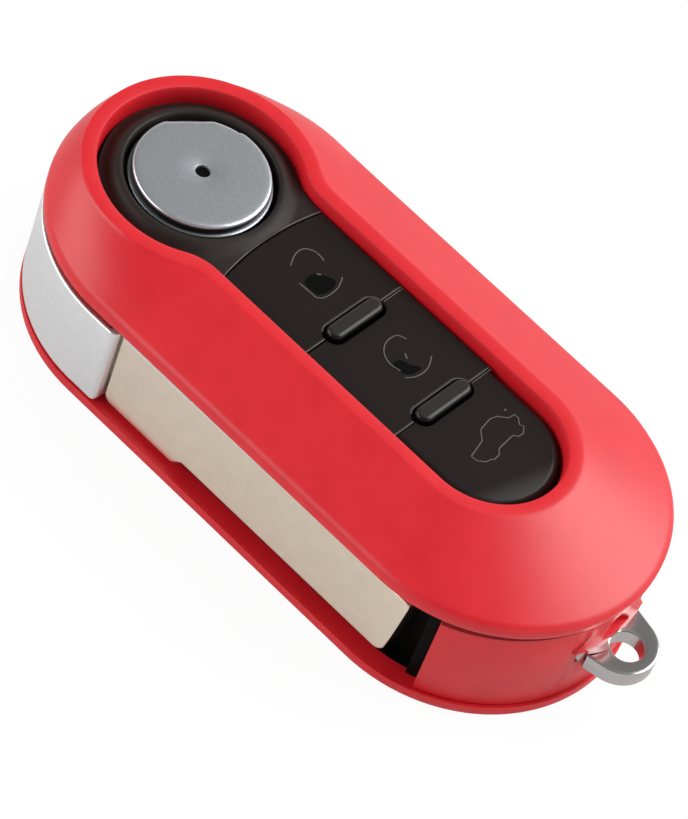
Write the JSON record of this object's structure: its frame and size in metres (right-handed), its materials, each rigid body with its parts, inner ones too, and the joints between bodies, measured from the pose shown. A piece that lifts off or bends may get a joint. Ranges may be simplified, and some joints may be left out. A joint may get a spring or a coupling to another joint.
{
  "type": "flip key shell",
  "caption": "Two-colour flip key remote shell with a folding uncut blade, a round release button, three keys, a sliding battery tray and a key ring loop.",
  "frame": {"origin": "centre of the bounding box, on the surface that the back rests on", "axes": "+X along the case towards the key ring loop, -Y to the side the blade folds into, +Z out of the keys"},
  "size_m": [0.0772, 0.034, 0.0186],
  "materials": {
    "red_shell": "satin moulded red",
    "black_shell": "fine moulded black",
    "black_keys": "soft satin black",
    "rubber_mat": "dull",
    "button_metal": "mottled grey",
    "head_casting": "satin silver",
    "nickel_blade": "nickel",
    "steel": "plain",
    "loop_chrome": "polished",
    "contact_metal": "nickelled spring strip"
  },
  "bodies": {
    "case": {"top_cover": "red_shell", "bottom_cover": "red_shell", "lower_chassis": "black_shell", "upper_chassis": "black_shell", "keypad_frame": "black_keys", "key_mat": "rubber_mat", "flip_spring": "steel", "case_screws": "steel"},
    "blade_unit": {"blade_head": "head_casting", "key_blade": "nickel_blade", "blade_pin": "steel"},
    "release_button": {"release_disc": "button_metal", "release_plunger": "black_shell"},
    "unlock_button": {"unlock_key": "black_keys"},
    "lock_button": {"lock_key": "black_keys"},
    "boot_button": {"boot_key": "black_keys"},
    "battery_drawer": {"battery_tray": "red_shell", "key_ring_loop": "loop_chrome", "battery_contact_minus": "contact_metal", "battery_contact_plus": "contact_metal"},
    "drawer_lock": {"tray_lock": "steel"}
  },
  "joints": [
    {"name": "blade_flip", "type": "hinge", "parent": "case", "child": "blade_unit", "pos_m": [-0.02495, 0, 0.008], "axis": [0, 0, 1], "range_deg": [-180, 0]},
    {"name": "release_press", "type": "slide", "parent": "case", "child": "release_button", "axis": [0, 0, -1], "range_m": [0, 0.0015], "stiffness_N_per_m": 2000, "deforming": ["flip_spring"]},
    {"name": "press_unlock", "type": "slide", "parent": "case", "child": "unlock_button", "axis": [0, 0, -1], "range_m": [0, 0.00035], "stiffness_N_per_m": 1500},
    {"name": "press_lock", "type": "slide", "parent": "case", "child": "lock_button", "axis": [0, 0, -1], "range_m": [0, 0.00035], "stiffness_N_per_m": 1500},
    {"name": "press_boot", "type": "slide", "parent": "case", "child": "boot_button", "axis": [0, 0, -1], "range_m": [0, 0.00035], "stiffness_N_per_m": 1500},
    {"name": "tray_slide", "type": "slide", "parent": "case", "child": "battery_drawer", "axis": [1, 0, 0], "range_m": [0, 0.024]},
    {"name": "tray_lock_turn", "type": "hinge", "parent": "case", "child": "drawer_lock", "pos_m": [0.00275, -0.0124, 0.0096], "axis": [0, 1, 0], "range_deg": [0, 90]}
  ]
}
